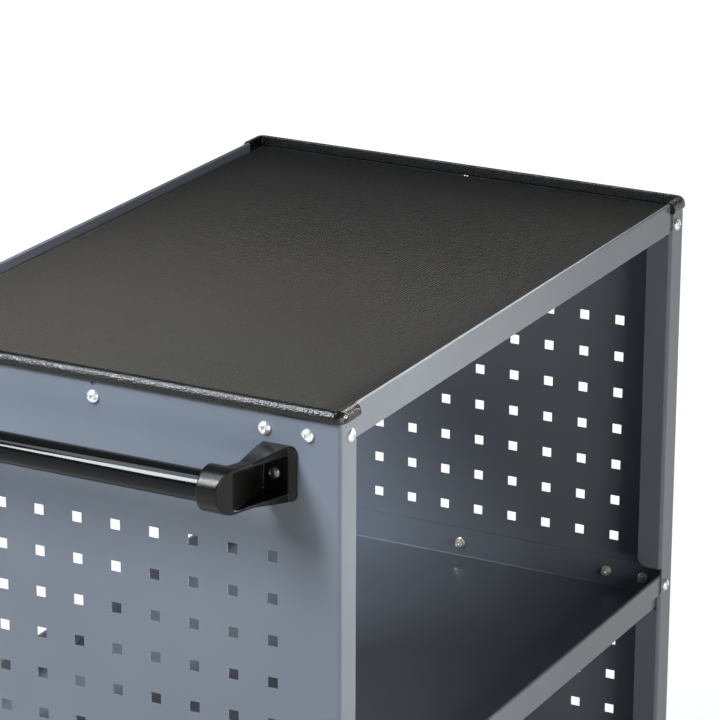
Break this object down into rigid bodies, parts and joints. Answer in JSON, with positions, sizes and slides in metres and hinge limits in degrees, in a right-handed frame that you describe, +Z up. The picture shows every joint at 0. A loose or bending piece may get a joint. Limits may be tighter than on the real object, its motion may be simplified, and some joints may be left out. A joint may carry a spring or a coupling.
{
  "type": "service cart",
  "caption": "Open service cart with perforated end panels, a top tray with a ribbed mat, two shelves, a tube handle on moulded brackets, and swivelling and fixed castors.",
  "frame": {"origin": "on the floor, at the middle of the whole cart's outline seen from above, handle included", "axes": "+X along the cart away from the handle, +Y across it to the left when pushing, +Z up"},
  "size_m": [0.7922, 0.4766, 0.917],
  "materials": {
    "blue_grey_paint": "satin",
    "edge_trim": "matte",
    "ribbed_rubber": "matte",
    "gloss_black_paint": "gloss",
    "black_plastic": "satin",
    "zinc": "satin",
    "black_steel": "satin",
    "wheel_rubber": "matte"
  },
  "bodies": {
    "cart": {"handle_end_panel": "blue_grey_paint", "far_end_panel": "blue_grey_paint", "handle_end_edge_trim": "edge_trim", "far_end_edge_trim": "edge_trim", "top_tray": "blue_grey_paint", "tray_mat": "ribbed_rubber", "middle_shelf": "blue_grey_paint", "bottom_shelf": "blue_grey_paint", "handle_tube": "gloss_black_paint", "front_handle_bracket": "black_plastic", "rear_handle_bracket": "black_plastic", "handle_end_screws": "zinc", "far_end_screws": "zinc", "side_screws": "zinc", "handle_bracket_screws": "black_steel", "front_swivel_plate": "zinc", "front_fixed_fork": "zinc", "front_fixed_axle": "zinc", "rear_swivel_plate": "zinc", "rear_fixed_fork": "zinc", "rear_fixed_axle": "zinc"},
    "front_swivel": {"front_swivel_fork": "zinc", "front_swivel_axle": "zinc", "front_pedal_pin": "zinc"},
    "front_swivel_wheel": {"front_swivel_wheel": "wheel_rubber"},
    "front_fixed_wheel": {"front_fixed_wheel": "wheel_rubber"},
    "front_brake": {"front_brake_pedal": "zinc"},
    "rear_swivel": {"rear_swivel_fork": "zinc", "rear_swivel_axle": "zinc", "rear_pedal_pin": "zinc"},
    "rear_swivel_wheel": {"rear_swivel_wheel": "wheel_rubber"},
    "rear_fixed_wheel": {"rear_fixed_wheel": "wheel_rubber"},
    "rear_brake": {"rear_brake_pedal": "zinc"}
  },
  "joints": [
    {"name": "front_swivel_turn", "type": "hinge", "parent": "cart", "child": "front_swivel", "pos_m": [-0.25525, -0.175, 0.137], "axis": [0, 0, 1], "continuous": true},
    {"name": "front_swivel_wheel_spin", "type": "hinge", "parent": "front_swivel", "child": "front_swivel_wheel", "pos_m": [-0.29325, -0.175, 0.0625], "axis": [0, 1, 0], "continuous": true},
    {"name": "front_brake_press", "type": "hinge", "parent": "front_swivel", "child": "front_brake", "pos_m": [-0.31325, -0.175, 0.1284], "axis": [0, -1, 0], "range_deg": [0, 14]},
    {"name": "front_fixed_wheel_spin", "type": "hinge", "parent": "cart", "child": "front_fixed_wheel", "pos_m": [0.33075, -0.175, 0.0625], "axis": [0, 1, 0], "continuous": true},
    {"name": "rear_swivel_turn", "type": "hinge", "parent": "cart", "child": "rear_swivel", "pos_m": [-0.25525, 0.175, 0.137], "axis": [0, 0, 1], "continuous": true},
    {"name": "rear_swivel_wheel_spin", "type": "hinge", "parent": "rear_swivel", "child": "rear_swivel_wheel", "pos_m": [-0.29325, 0.175, 0.0625], "axis": [0, 1, 0], "continuous": true},
    {"name": "rear_brake_press", "type": "hinge", "parent": "rear_swivel", "child": "rear_brake", "pos_m": [-0.31325, 0.175, 0.1284], "axis": [0, -1, 0], "range_deg": [0, 14]},
    {"name": "rear_fixed_wheel_spin", "type": "hinge", "parent": "cart", "child": "rear_fixed_wheel", "pos_m": [0.33075, 0.175, 0.0625], "axis": [0, 1, 0], "continuous": true}
  ]
}
